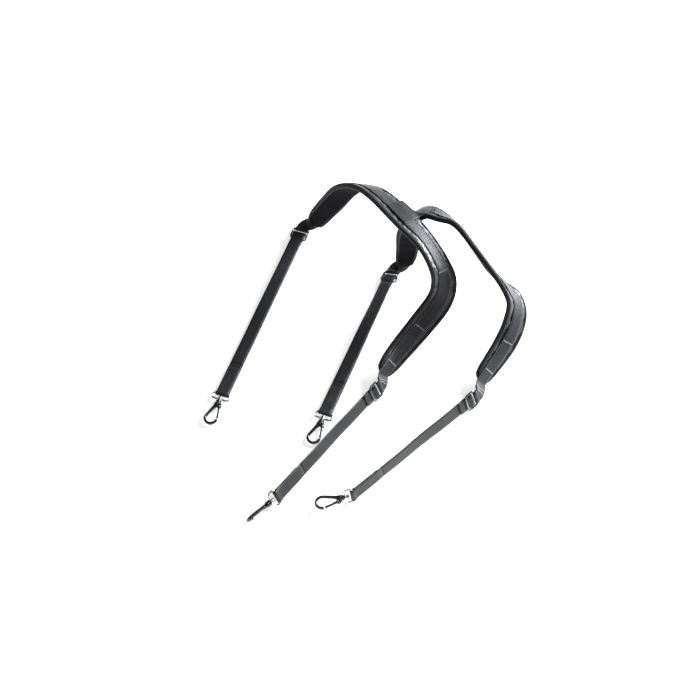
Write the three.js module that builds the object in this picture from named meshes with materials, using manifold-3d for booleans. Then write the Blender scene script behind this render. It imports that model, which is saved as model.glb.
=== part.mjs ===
// Two-shoulder harness. Two padded shoulder straps arch up from the floor and are joined by a leather
// junction where they meet. Each strap carries an adjustable webbing leg at both ends, and each leg
// ends in a swivelling snap hook. Legs and hooks lie on the floor.
// Millimetres, +Z up, origin in the middle of the footprint on the floor.
import * as THREE from "three";
import { mergeVertices } from "three/addons/utils/BufferGeometryUtils.js";
import Module from "manifold-3d";

const wasm = await Module();
wasm.setup();

// ---------------------------------------------------------------- driving dimensions
const FOOTPRINT_MIDDLE = new THREE.Vector3(24, 9, 0); // taken from every position below

const WEB_WIDTH = 20;
const WEB_THICK = 1.4;
const WEB_HALF = WEB_THICK / 2;
const CLEAR = 0.4; // between pieces that slide or turn on each other
const SEAM = 0.3; // between pieces that are sewn together

const PAD_WIDTH = 40;
const PAD_TAPER = 9; // narrower towards the ends
const PAD_TIP = 7; // and again at the very tips
const PAD_TOP = 2.6; // core's outer face, from the pad's middle line
const PAD_BOTTOM = -3;
const PAD_ROUND = 1.2;
const LINING_THICK = 0.7;
const LINING_BOTTOM = PAD_BOTTOM - SEAM - LINING_THICK;
const BINDING_WIDTH = 2.6;
const BINDING_BOTTOM = LINING_BOTTOM - 0.3;
const PAD_STEPS = 44;
const LEATHER_THICK = 1.4;
const JUNCTION_STEPS = 3; // the junction's length, in the pads' stations
const LEFT_JUNCTION = 18; // station where each pad meets the junction
const RIGHT_JUNCTION = 10;
const WEB_LEVEL = PAD_TOP + SEAM + WEB_HALF; // shoulder webbing's middle, from the pad's middle line

const BAR_RADIUS = 1.5;
const EYE_INNER = BAR_RADIUS + CLEAR;
const EYE_OUTER = EYE_INNER + WEB_THICK;
const PLATE_LEVEL = EYE_INNER + WEB_HALF; // adjuster plate's middle, out from the leg strand's middle
const PLATE_THICK = 3;
const ADJUSTER_WIDTH = 28;
const TOP_BAR_Y = -9;
const LIP_Y = 9.5;
const LIP_WIDTH = 3;
const LIP_THICK = 2;
const RAIL_INNER = WEB_WIDTH / 2 + 1.2;
const TAIL_LEVEL = WEB_THICK + SEAM; // tail's middle, out from the leg strand's middle
const TAIL_START = 8.4;
const WRAP_END = 14; // the strand's fixed run under the adjuster ends here
const SEWN_LENGTH = 56; // doubled and stitched end of each leg
const STRAND_STEPS = 14;
const TAB_STEPS = 5;

const WIRE_RADIUS = 1.6;
const LOOP_EYE_INNER = WIRE_RADIUS + CLEAR;
const LOOP_EYE_OUTER = LOOP_EYE_INNER + WEB_THICK;
const LOOP_HALF_WIDTH = WEB_WIDTH / 2 + 2.4; // to the side wires' middles
const LOOP_FAR_Y = 9.8; // loop's far bar, from its bar in the webbing
const BOSS_RADIUS = 3.8;
const BOSS_LENGTH = 4.4;
const PIN_RADIUS = 1.8;
const PIN_HEAD_RADIUS = 3.1;
const PIN_HEAD_LENGTH = 1.5;
const PIN_DEPTH = 5; // how far the pin goes into the hook's collar

const HOOK_START = LOOP_FAR_Y + BOSS_LENGTH / 2 + CLEAR;
const HOOK_THICK = 5;
const COLLAR_RADIUS = 4.4;
const BOW_RADIUS = 10.5; // big round end of the teardrop
const BOW_Y = HOOK_START + 31.5;
const MOUTH_RADIUS = 6.6; // round end of the opening
const MOUTH_THROAT_RADIUS = 2.2;
const THROAT_Y = HOOK_START + 14;
const GATE_PIVOT = new THREE.Vector2(-4.6, HOOK_START + 9.5);
const GATE_TIP = new THREE.Vector2(-8.55, HOOK_START + 29);
const GATE_WIDTH = 3.2;
const GATE_THICK = 2.2;
const GATE_PIN_RADIUS = 0.9;

// Middle line and outward direction of each padded strap, from its rear end to its front end.
const LEFT_PAD = [
  [-56, 265, 18, 0.5, 0.9, -0.1],
  [-45, 262, 42, 0.4, 0.9, 0],
  [-27, 256, 78, 0.3, 1, 0.1],
  [-8, 251, 112, 0.1, 0.9, 0.3],
  [14, 240, 134, 0.1, 0.8, 0.7],
  [41, 214, 146, 0.2, 0.4, 0.9],
  [82, 163, 146, 0.2, 0.1, 1],
  [112, 128, 136, 0.5, 0, 0.9],
  [131, 101, 116, 0.6, -0.4, 0.7],
  [137, 85, 94, 0.3, -0.8, 0.5],
  [129, 70, 70, 0.1, -0.8, 0.6],
  [101, 44, 44, 0.1, -0.7, 0.7],
  [72, 14, 26, 0.3, -0.6, 0.7],
  [47, -18, 16, 0.6, -0.6, 0.5],
];
const RIGHT_PAD = [
  [83, 183, 17, 0.1, 1, -0.2],
  [87, 189, 46, 0, 1, 0],
  [88, 190, 90, -0.3, 0.9, 0.1],
  [97, 195, 118, -0.5, 0.7, 0.4],
  [113, 193, 132, -0.2, 0.6, 0.8],
  [136, 178, 136, 0.3, 0.5, 0.8],
  [158, 161, 135, 0.7, 0.5, 0.5],
  [181, 128, 127, 0.8, 0.4, 0.4],
  [202, 99, 116, 0.8, 0.5, 0.4],
  [225, 78, 100, 0.8, 0.3, 0.6],
  [240, 63, 84, 0.8, -0.3, 0.6],
  [241, 44, 64, 0.5, -0.7, 0.5],
  [227, 18, 40, 0.4, -0.7, 0.6],
  [190, -30, 15, 0.5, -0.7, 0.5],
];

// Each leg: the adjuster's middle bar, the hook loop's bar, the strand's outward direction at both
// ends, and how far the hook is folded inwards and swivelled as it lies.
const LEGS = {
  rear_left: {
    start: [-79, 255, 5.9],
    end: [-186, -47, 5],
    startOut: [0, 0, -1],
    endOut: [0, 0, -1],
    fold: 0,
    swivel: 180,
    tail: 14,
  },
  front_left: {
    start: [36, -46, 12.2],
    end: [-101, -223, 15.2],
    startOut: [0.7, -0.54, 0.47],
    endOut: [0.68, -0.52, 0.5],
    fold: 12,
    swivel: -47,
    tail: 15,
  },
  rear_right: {
    start: [61, 168, 9.8],
    end: [-36, -80, 5],
    startOut: [0.29, -0.11, -0.95],
    endOut: [0, 0, -1],
    fold: 0,
    swivel: 180,
    tail: 14,
  },
  front_right: {
    start: [174, -62, 12.3],
    end: [4, -221, 15],
    startOut: [0.59, -0.67, 0.45],
    endOut: [0.65, -0.71, 0.26],
    fold: 33,
    swivel: 75,
    tail: 15,
  },
};

// ---------------------------------------------------------------- materials
const finish = (color, roughness, metalness) =>
  new THREE.MeshStandardMaterial({ color, roughness, metalness });
const MATERIALS = {
  shell: finish(0x2c2c31, 0.8, 0),
  lining: finish(0x141417, 0.95, 0),
  binding: finish(0x0c0c0e, 0.7, 0),
  webbing: finish(0x1d1d21, 0.75, 0),
  leather: finish(0x17171a, 0.55, 0),
  plastic: finish(0x101012, 0.4, 0),
  nickel: finish(0xb9bcc2, 0.25, 1),
  gunmetal: finish(0x24262a, 0.35, 1),
  steel: finish(0x8a8d92, 0.3, 1),
};

// ---------------------------------------------------------------- joining and cutting
const POSITION_ONLY = ["normal", "uv"];

function solid(geometry) {
  const bare = geometry.clone();
  POSITION_ONLY.forEach((name) => bare.deleteAttribute(name));
  const merged = mergeVertices(bare, 1e-4);
  return new wasm.Manifold(
    new wasm.Mesh({
      numProp: 3,
      vertProperties: new Float32Array(merged.attributes.position.array),
      triVerts: new Uint32Array(merged.index.array),
    }),
  );
}

function geometryOf(body) {
  const { vertProperties, triVerts } = body.getMesh();
  const geometry = new THREE.BufferGeometry();
  geometry.setAttribute("position", new THREE.BufferAttribute(new Float32Array(vertProperties), 3));
  geometry.setIndex(new THREE.BufferAttribute(new Uint32Array(triVerts), 1));
  const faceted = geometry.toNonIndexed();
  faceted.computeVertexNormals();
  return faceted;
}

const join = (...geometries) =>
  geometryOf(geometries.map(solid).reduce((body, next) => body.add(next)));

const cut = (geometry, ...tools) =>
  geometryOf(tools.map(solid).reduce((body, tool) => body.subtract(tool), solid(geometry)));

// ---------------------------------------------------------------- basic shapes
function box(x0, x1, y0, y1, z0, z1) {
  return new THREE.BoxGeometry(x1 - x0, y1 - y0, z1 - z0).translate(
    (x0 + x1) / 2,
    (y0 + y1) / 2,
    (z0 + z1) / 2,
  );
}

const rodY = (radius, y0, y1, sides = 16) =>
  new THREE.CylinderGeometry(radius, radius, y1 - y0, sides).translate(0, (y0 + y1) / 2, 0);

const rodX = (radius, halfLength, y, z, sides = 16) =>
  new THREE.CylinderGeometry(radius, radius, 2 * halfLength, sides)
    .rotateZ(Math.PI / 2)
    .translate(0, y, z);

const rodZ = (radius, halfLength, x, y, sides = 16) =>
  new THREE.CylinderGeometry(radius, radius, 2 * halfLength, sides)
    .rotateX(Math.PI / 2)
    .translate(x, y, 0);

// A flat shape in the x-y plane, thickened evenly to both sides of it.
const slab = (shape, thick, curveSegments = 8) =>
  new THREE.ExtrudeGeometry(shape, { depth: thick, bevelEnabled: false, curveSegments }).translate(
    0,
    0,
    -thick / 2,
  );

// A profile drawn in the leg's y-z plane, as wide as the webbing.
function acrossWebbing(shape, curveSegments = 10) {
  const depth = WEB_WIDTH;
  const geometry = new THREE.ExtrudeGeometry(shape, { depth, bevelEnabled: false, curveSegments });
  geometry.translate(0, 0, -depth / 2);
  // shape x runs along the leg (y), shape y runs outwards (z), and the depth lies across (x)
  const swap = new THREE.Matrix4().set(0, 0, 1, 0, 1, 0, 0, 0, 0, 1, 0, 0, 0, 0, 0, 1);
  return geometry.applyMatrix4(swap);
}

// The outline round two circles on the y axis and their common tangents.
function teardrop(y0, r0, y1, r1) {
  const lean = Math.asin((r1 - r0) / (y1 - y0));
  const shape = new THREE.Shape();
  shape.absarc(0, y1, r1, -lean, Math.PI + lean, false);
  shape.absarc(0, y0, r0, Math.PI + lean, 2 * Math.PI - lean, false);
  return shape;
}

// ---------------------------------------------------------------- straps as lofts
class Route {
  constructor(rows) {
    const curve = (first) =>
      new THREE.CatmullRomCurve3(
        rows.map((row) => new THREE.Vector3(row[first], row[first + 1], row[first + 2])),
        false,
        "catmullrom",
        0.5,
      );
    this.line = curve(0);
    this.outward = curve(3);
    this.line.arcLengthDivisions = 400;
    this.length = this.line.getLength();
    // every piece of one strap is lofted through the same stations, so that their faces keep apart
    const edge = BINDING_WIDTH / this.length;
    const inset = (BINDING_WIDTH + SEAM) / this.length;
    const even = Array.from({ length: PAD_STEPS - 1 }, (_, i) => (i + 1) / PAD_STEPS);
    this.edge = edge;
    this.inset = inset;
    this.shares = [0, edge, inset, ...even, 1 - inset, 1 - edge, 1];
  }

  // Where the strap is at the share u of its length: its middle and its three directions.
  station(u) {
    const t = this.line.getUtoTmapping(u);
    const point = this.line.getPoint(t);
    const along = this.line.getTangent(t);
    const out = this.outward.getPoint(t);
    out.addScaledVector(along, -out.dot(along)).normalize();
    const across = new THREE.Vector3().crossVectors(along, out);
    return { point, along, out, across };
  }
}

const place = ({ point, across, out }, x, z) =>
  point.clone().addScaledVector(across, x).addScaledVector(out, z);

// A closed skin through rings of points that all turn the same way. Its end faces run to and fro
// between the ring's two long sides, so a section can be thin and bent.
function loft(rings) {
  const count = rings[0].length;
  const positions = rings.flat().flatMap((p) => [p.x, p.y, p.z]);
  const index = [];
  for (let i = 0; i + 1 < rings.length; i++) {
    for (let k = 0; k < count; k++) {
      const a = i * count + k;
      const b = i * count + ((k + 1) % count);
      // faces on both sides of a gap are split along the same diagonal
      if (k < count / 2) index.push(a, a + count, b + count, a, b + count, b);
      else index.push(a, a + count, b, a + count, b + count, b);
    }
  }
  const last = (rings.length - 1) * count;
  const closeEnds = (a, b, c) => index.push(a, b, c, last + a, last + c, last + b);
  for (let low = 1, high = count; high - low > 1; low++, high--) {
    closeEnds(low, low + 1, high % count);
    if (high - low > 2) closeEnds(low + 1, high - 1, high % count);
  }
  const geometry = new THREE.BufferGeometry();
  geometry.setAttribute("position", new THREE.Float32BufferAttribute(positions, 3));
  geometry.setIndex(index);
  return geometry;
}

const flatSection = (half, bottom, top) => [
  [half, bottom],
  [half, top],
  [-half, top],
  [-half, bottom],
];

// A padded section with its upper edges eased. Its top has the webbing's own width as a column.
function paddedSection(half, bottom, top, round) {
  const column = Math.min(WEB_WIDTH / 2, half - round - 0.5);
  return [
    [half, bottom],
    [half, top - round],
    [half - round, top],
    [column, top],
    [-column, top],
    [round - half, top],
    [-half, top - round],
    [-half, bottom],
  ];
}

// The strip of a section between the distances inner and outer on one side of the middle.
const edgeSection = (side, inner, outer, bottom, top, round) =>
  side > 0
    ? [[outer, bottom], [outer, top - round], [outer - round, top], [inner, top], [inner, bottom]]
    : [[-inner, bottom], [-inner, top], [round - outer, top], [-outer, top - round], [-outer, bottom]];

const ringAt = (station, section) => section.map(([x, z]) => place(station, x, z));

function loftAlong(route, from, to, sectionAt) {
  const shares = route.shares.filter((u) => u >= from && u <= to);
  return loft(shares.map((u) => ringAt(route.station(u), sectionAt(u))));
}

// ---------------------------------------------------------------- leg pieces
// A leg's frame has y along the leg, z outwards, x across, and y = 0 at the adjuster's middle bar.
// z = 0 is the middle of the strand that carries the load.
function adjusterGeometry() {
  const y0 = TOP_BAR_Y - BAR_RADIUS;
  const y1 = LIP_Y + LIP_WIDTH / 2;
  const half = ADJUSTER_WIDTH / 2;
  const round = 6;
  const outline = new THREE.Shape();
  outline.absarc(half - round, y0 + round, round, -Math.PI / 2, 0, false);
  outline.absarc(half - round, y1 - round, round, 0, Math.PI / 2, false);
  outline.absarc(round - half, y1 - round, round, Math.PI / 2, Math.PI, false);
  outline.absarc(round - half, y0 + round, round, Math.PI, 1.5 * Math.PI, false);
  const window = box(-RAIL_INNER, RAIL_INNER, y0 - 1, y1 + 1, -PLATE_THICK, PLATE_THICK);
  const rails = cut(slab(outline, PLATE_THICK, 5), window).translate(0, 0, PLATE_LEVEL);
  const reach = RAIL_INNER + 1;
  const lipBottom = TAIL_LEVEL + WEB_HALF + CLEAR;
  const lipTop = lipBottom + LIP_THICK;
  return join(
    rails,
    rodX(BAR_RADIUS, reach, TOP_BAR_Y, PLATE_LEVEL),
    rodX(BAR_RADIUS, reach, 0, PLATE_LEVEL),
    box(-reach, reach, LIP_Y - LIP_WIDTH / 2, y1, lipBottom, lipTop),
  );
}

// The strand's turn over the middle bar, from its run under the plate to the start of the tail.
function wrapGeometry() {
  const leave = THREE.MathUtils.degToRad(60);
  const landing = new THREE.Vector2(TAIL_START - SEAM, TAIL_LEVEL);
  const profile = new THREE.Shape();
  profile.moveTo(WRAP_END, -WEB_HALF);
  profile.lineTo(WRAP_END, WEB_HALF);
  profile.absarc(0, PLATE_LEVEL, EYE_INNER, -Math.PI / 2, leave, true);
  profile.lineTo(landing.x - 1.9, landing.y - WEB_HALF);
  profile.lineTo(landing.x, landing.y - WEB_HALF);
  profile.lineTo(landing.x, landing.y + WEB_HALF);
  profile.lineTo(landing.x - 1.2, landing.y + WEB_HALF);
  profile.absarc(0, PLATE_LEVEL, EYE_OUTER, leave, -Math.PI / 2, false);
  return acrossWebbing(profile);
}

function tailGeometry(length) {
  const half = WEB_WIDTH / 2;
  const bottom = TAIL_LEVEL - WEB_HALF;
  return box(-half, half, TAIL_START, TAIL_START + length, bottom, bottom + WEB_THICK);
}

// The load strand between the adjuster and the sewn end, which turns with the leg's own twist.
function strandGeometry(length, twist) {
  const rings = [];
  const section = flatSection(WEB_WIDTH / 2, -WEB_HALF, WEB_HALF);
  const y0 = WRAP_END + SEAM;
  const y1 = length - SEWN_LENGTH - SEAM;
  for (let i = 0; i <= STRAND_STEPS; i++) {
    const share = i / STRAND_STEPS;
    const angle = twist * THREE.MathUtils.smoothstep(share, 0, 1);
    const across = new THREE.Vector3(Math.cos(angle), 0, -Math.sin(angle));
    const out = new THREE.Vector3(Math.sin(angle), 0, Math.cos(angle));
    const point = new THREE.Vector3(0, y0 + (y1 - y0) * share, 0);
    rings.push(ringAt({ point, across, out }, section));
  }
  return loft(rings);
}

// An eye of webbing round a bar at y = 0, z = 0, whose doubled strap leaves along -y.
function eyeGeometry(inner, outer, strapLength, strapBottom) {
  const half = WEB_WIDTH / 2;
  const strapTop = strapBottom + 2 * WEB_THICK;
  return cut(
    join(
      rodX(outer, half, 0, 0, 20),
      box(-half, half, -strapLength, -inner - 0.4, strapBottom, strapTop),
    ),
    rodX(inner, WEB_WIDTH, 0, 0, 20),
  );
}

// ---------------------------------------------------------------- hook pieces
// A hook's frame has y = 0 at the loop's bar, y towards the hook's tip and z out of its flat side.
function loopGeometry() {
  const half = LOOP_HALF_WIDTH;
  const wires = [
    rodX(WIRE_RADIUS, half, 0, 0, 12),
    rodX(WIRE_RADIUS, half, LOOP_FAR_Y, 0, 12),
  ];
  for (const x of [-half, half]) {
    wires.push(rodY(WIRE_RADIUS, 0, LOOP_FAR_Y, 12).translate(x, 0, 0));
    for (const y of [0, LOOP_FAR_Y]) {
      wires.push(new THREE.SphereGeometry(WIRE_RADIUS, 12, 6).translate(x, y, 0));
    }
  }
  const bossStart = LOOP_FAR_Y - BOSS_LENGTH / 2;
  const boss = rodY(BOSS_RADIUS, bossStart, bossStart + BOSS_LENGTH, 20);
  const bore = rodY(PIN_RADIUS + CLEAR, bossStart - 1, bossStart + BOSS_LENGTH + 1, 16);
  return cut(join(...wires, boss), bore);
}

function swivelPinGeometry() {
  const headTop = LOOP_FAR_Y - BOSS_LENGTH / 2 - CLEAR;
  return join(
    rodY(PIN_HEAD_RADIUS, headTop - PIN_HEAD_LENGTH, headTop),
    rodY(PIN_RADIUS, headTop - 0.5, HOOK_START + PIN_DEPTH - SEAM),
  );
}

// The hook's body: a teardrop plate with a round opening, a collar for the swivel pin and a gap in
// one side that the gate closes.
function hookGeometry() {
  const outline = teardrop(THROAT_Y - 6, COLLAR_RADIUS + 1, BOW_Y, BOW_RADIUS);
  const opening = teardrop(THROAT_Y, MOUTH_THROAT_RADIUS, BOW_Y, MOUTH_RADIUS);
  const collar = rodY(COLLAR_RADIUS, HOOK_START, THROAT_Y - 5, 18);
  const gapTop = GATE_TIP.y + 0.8;
  const gap = box(-BOW_RADIUS - 1, -MOUTH_THROAT_RADIUS, THROAT_Y - 1.2, gapTop, -4, 4);
  const slot = box(
    GATE_PIVOT.x - 5,
    GATE_PIVOT.x + 2.6,
    GATE_PIVOT.y - 2.6,
    THROAT_Y,
    -GATE_THICK / 2 - SEAM,
    GATE_THICK / 2 + SEAM,
  );
  const pinHole = rodZ(GATE_PIN_RADIUS + SEAM, 6, GATE_PIVOT.x, GATE_PIVOT.y, 12);
  const pinBore = rodY(PIN_RADIUS + SEAM, HOOK_START - 1, HOOK_START + PIN_DEPTH, 16);
  return cut(
    join(slab(outline, HOOK_THICK, 12), collar),
    slab(opening, HOOK_THICK + 4, 12),
    gap,
    slot,
    pinHole,
    pinBore,
  );
}

// The gate: a lever from its knuckle in the hook's slot to the tip that closes the gap.
function gateGeometry() {
  const lever = GATE_TIP.clone().sub(GATE_PIVOT);
  const half = GATE_WIDTH / 2;
  const knuckle = 2.1;
  const length = lever.length() - half;
  const shape = new THREE.Shape();
  shape.absarc(0, 0, knuckle, Math.PI, 2 * Math.PI, false);
  shape.lineTo(half, 4);
  shape.absarc(0, length, half, 0, Math.PI, false);
  shape.lineTo(-half, 4);
  const hole = new THREE.Path();
  hole.absarc(0, 0, GATE_PIN_RADIUS + SEAM, 0, 2 * Math.PI, true);
  shape.holes.push(hole);
  const turn = -Math.atan2(lever.x, lever.y);
  return slab(shape, GATE_THICK, 6).rotateZ(turn).translate(GATE_PIVOT.x, GATE_PIVOT.y, 0);
}

const gatePinGeometry = () =>
  rodZ(GATE_PIN_RADIUS, HOOK_THICK / 2, GATE_PIVOT.x, GATE_PIVOT.y, 12);

// A leaf spring in the hook's slot that pushes the gate outwards.
function gateSpringGeometry() {
  const leaf = new THREE.Shape();
  const x = GATE_PIVOT.x + 2.45;
  const y = GATE_PIVOT.y;
  leaf.moveTo(x - 0.25, y - 2.2);
  leaf.lineTo(x, y - 2.2);
  leaf.lineTo(x, y + 2.4);
  leaf.lineTo(x - 1.6, y + 7);
  leaf.lineTo(x - 1.85, y + 6.9);
  leaf.lineTo(x - 0.25, y + 2.3);
  return slab(leaf, GATE_THICK - 0.4);
}

// ---------------------------------------------------------------- assembly
const harness = new THREE.Group();
harness.position.copy(FOOTPRINT_MIDDLE).negate();

function addMesh(parent, name, geometry, material) {
  const mesh = new THREE.Mesh(geometry, material);
  mesh.name = name;
  parent.add(mesh);
}

const vector = (values) => new THREE.Vector3(...values);

// A child group whose y runs along, z outwards and x across the webbing.
function frameGroup(parent, name, origin, along, outHint) {
  const out = outHint.clone().addScaledVector(along, -outHint.dot(along)).normalize();
  const across = new THREE.Vector3().crossVectors(along, out);
  const group = new THREE.Group();
  group.name = name;
  group.position.copy(origin);
  group.quaternion.setFromRotationMatrix(new THREE.Matrix4().makeBasis(across, along, out));
  group.updateMatrix();
  parent.add(group);
  return group;
}

function turnedGroup(parent, name, position, axis, degrees) {
  const group = new THREE.Group();
  group.name = name;
  group.position.copy(position);
  group.quaternion.setFromAxisAngle(axis, THREE.MathUtils.degToRad(degrees));
  parent.add(group);
  return group;
}

const ACROSS = new THREE.Vector3(1, 0, 0);
const ALONG = new THREE.Vector3(0, 1, 0);
const OUTWARDS = new THREE.Vector3(0, 0, 1);

function addHook(parent, side, leg) {
  const loop = turnedGroup(parent, `${side}_loop_frame`, new THREE.Vector3(), ACROSS, -leg.fold);
  addMesh(loop, `${side}_hook_loop`, loopGeometry(), MATERIALS.nickel);
  const hook = turnedGroup(loop, `${side}_hook_frame`, new THREE.Vector3(), ALONG, leg.swivel);
  addMesh(hook, `${side}_swivel_pin`, swivelPinGeometry(), MATERIALS.steel);
  addMesh(hook, `${side}_hook_body`, hookGeometry(), MATERIALS.gunmetal);
  addMesh(hook, `${side}_gate`, gateGeometry(), MATERIALS.gunmetal);
  addMesh(hook, `${side}_gate_pin`, gatePinGeometry(), MATERIALS.steel);
  addMesh(hook, `${side}_gate_spring`, gateSpringGeometry(), MATERIALS.steel);
}

// Adds one leg and returns its frame, from which the shoulder webbing finds the adjuster's top bar.
function addLeg(side, leg) {
  const start = vector(leg.start);
  const along = vector(leg.end).sub(start);
  const length = along.length();
  along.normalize();
  const frame = frameGroup(harness, `${side}_leg_frame`, start, along, vector(leg.startOut));
  addMesh(frame, `${side}_adjuster`, adjusterGeometry(), MATERIALS.plastic);
  addMesh(frame, `${side}_webbing_turn`, wrapGeometry(), MATERIALS.webbing);
  addMesh(frame, `${side}_webbing_tail`, tailGeometry(leg.tail), MATERIALS.webbing);

  const end = frameGroup(harness, `${side}_end_frame`, vector(leg.end), along, vector(leg.endOut));
  const turn = frame.quaternion.clone().invert().multiply(end.quaternion);
  const twist = 2 * Math.atan2(turn.y, turn.w);
  addMesh(frame, `${side}_leg_webbing`, strandGeometry(length, twist), MATERIALS.webbing);

  const strapBottom = -WEB_THICK;
  const sewn = eyeGeometry(LOOP_EYE_INNER, LOOP_EYE_OUTER, SEWN_LENGTH, strapBottom);
  addMesh(end, `${side}_sewn_end`, sewn, MATERIALS.webbing);
  addHook(end, side, leg);
  return frame;
}

const frames = Object.fromEntries(
  Object.entries(LEGS).map(([side, leg]) => [side, addLeg(side, leg)]),
);

// ---------------------------------------------------------------- shoulder straps
// Half the pad's width at the share u of its length.
function padHalf(u) {
  const fromEnd = Math.min(u, 1 - u);
  const taper = PAD_TAPER * Math.max(0, 1 - fromEnd / 0.25) ** 1.5;
  const tip = PAD_TIP * Math.max(0, 1 - fromEnd / 0.05) ** 2;
  return (PAD_WIDTH - taper - tip) / 2;
}

// A smooth curve from a to b that leaves along va and arrives along vb, and its direction.
function bridge(a, va, b, vb, s) {
  const s2 = s * s;
  const s3 = s2 * s;
  const sum = (ka, kva, kb, kvb) =>
    new THREE.Vector3()
      .addScaledVector(a, ka)
      .addScaledVector(va, kva)
      .addScaledVector(b, kb)
      .addScaledVector(vb, kvb);
  return {
    point: sum(2 * s3 - 3 * s2 + 1, s3 - 2 * s2 + s, 3 * s2 - 2 * s3, s3 - s2),
    slope: sum(6 * s2 - 6 * s, 3 * s2 - 4 * s + 1, 6 * s - 6 * s2, 3 * s2 - 2 * s),
  };
}

// The webbing's free run from a pad's end to the eye round the adjuster's top bar. ahead is 1 where
// the run goes on in the strap's own direction and -1 where it comes before the pad.
function tabStations(padEnd, leg, ahead) {
  const bar = new THREE.Vector3(0, TOP_BAR_Y - EYE_OUTER - 1.4, PLATE_LEVEL);
  const eye = bar.applyMatrix4(leg.matrix);
  const legAlong = ALONG.clone().transformDirection(leg.matrix);
  const legOut = OUTWARDS.clone().transformDirection(leg.matrix);
  const padPoint = place(padEnd, 0, WEB_LEVEL);
  const travel = eye.distanceTo(padPoint);
  const leave = padEnd.along.clone().multiplyScalar(ahead * travel);
  const arrive = legAlong.multiplyScalar(travel);
  const stations = [];
  for (let i = 1; i <= TAB_STEPS; i++) {
    const s = i / TAB_STEPS;
    const { point, slope } = bridge(padPoint, leave, eye, arrive, s);
    const along = slope.normalize().multiplyScalar(ahead);
    const out = padEnd.out.clone().lerp(legOut, s);
    out.addScaledVector(along, -out.dot(along)).normalize();
    const across = new THREE.Vector3().crossVectors(along, out);
    stations.push({ point, across, out, half: WEB_HALF * (1 + s) });
  }
  return ahead > 0 ? stations : stations.reverse();
}

function shoulderWebbing(route, rear, front) {
  const onPad = route.shares.map((u) => {
    const station = route.station(u);
    return { ...station, point: place(station, 0, WEB_LEVEL), half: WEB_HALF };
  });
  const stations = [
    ...tabStations(route.station(0), rear, -1),
    ...onPad,
    ...tabStations(route.station(1), front, 1),
  ];
  const run = loft(stations.map((s) => ringAt(s, flatSection(WEB_WIDTH / 2, -s.half, s.half))));
  const eyes = [rear, front].map((leg) =>
    eyeGeometry(EYE_INNER, EYE_OUTER, EYE_OUTER + 1.9, -WEB_THICK)
      .translate(0, TOP_BAR_Y, PLATE_LEVEL)
      .applyMatrix4(leg.matrix),
  );
  return join(run, ...eyes);
}

function addPad(side, route, rear, front) {
  const inner = (u) => padHalf(u) - BINDING_WIDTH - SEAM;
  const { edge, inset } = route;
  const core = loftAlong(route, inset, 1 - inset, (u) =>
    paddedSection(inner(u), PAD_BOTTOM, PAD_TOP, PAD_ROUND),
  );
  const lining = loftAlong(route, inset, 1 - inset, (u) =>
    flatSection(inner(u), LINING_BOTTOM, PAD_BOTTOM - SEAM),
  );
  const strip = (hand) =>
    loftAlong(route, 0, 1, (u) => {
      const outer = padHalf(u);
      return edgeSection(hand, outer - BINDING_WIDTH, outer, BINDING_BOTTOM, PAD_TOP, PAD_ROUND);
    });
  const endPiece = (from, to) =>
    loftAlong(route, from, to, (u) =>
      paddedSection(padHalf(u), BINDING_BOTTOM, PAD_TOP, PAD_ROUND),
    );
  const binding = join(strip(1), strip(-1), endPiece(0, edge), endPiece(1 - edge, 1));
  addMesh(harness, `${side}_pad_core`, core, MATERIALS.shell);
  addMesh(harness, `${side}_pad_lining`, lining, MATERIALS.lining);
  addMesh(harness, `${side}_pad_binding`, binding, MATERIALS.binding);
  const webbing = shoulderWebbing(route, rear, front);
  addMesh(harness, `${side}_shoulder_webbing`, webbing, MATERIALS.webbing);
}

const leftRoute = new Route(LEFT_PAD);
const rightRoute = new Route(RIGHT_PAD);
addPad("left", leftRoute, frames.rear_left, frames.front_left);
addPad("right", rightRoute, frames.rear_right, frames.front_right);

// A leather piece that runs over the left pad, across the gap behind it and over the right pad. Its
// rings lie at the pads' own stations, so it keeps even with both of them.
function junctionGeometry(level) {
  const top = level + LEATHER_THICK / 2;
  const bottom = level - LEATHER_THICK / 2;
  const reach = PAD_WIDTH / 2;
  const column = WEB_WIDTH / 2;
  const rings = [];
  for (let i = 0; i <= JUNCTION_STEPS; i++) {
    const left = leftRoute.station((LEFT_JUNCTION + i) / PAD_STEPS);
    const right = rightRoute.station((RIGHT_JUNCTION + i) / PAD_STEPS);
    rings.push([
      place(left, column, bottom),
      place(left, column, top),
      place(left, -column, top),
      place(left, -reach, top),
      place(right, reach, top),
      place(right, column, top),
      place(right, -column, top),
      place(right, -column, bottom),
      place(right, column, bottom),
      place(right, reach, bottom),
      place(left, -reach, bottom),
      place(left, -column, bottom),
    ]);
  }
  return loft(rings);
}

const topLevel = WEB_LEVEL + WEB_HALF + SEAM + LEATHER_THICK / 2;
const underLevel = BINDING_BOTTOM - 4 * SEAM - LEATHER_THICK / 2;
addMesh(harness, "junction_top", junctionGeometry(topLevel), MATERIALS.leather);
addMesh(harness, "junction_underside", junctionGeometry(underLevel), MATERIALS.leather);

export default harness;
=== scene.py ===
import math
import bpy
import numpy as np
from mathutils import Matrix, Vector


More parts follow.
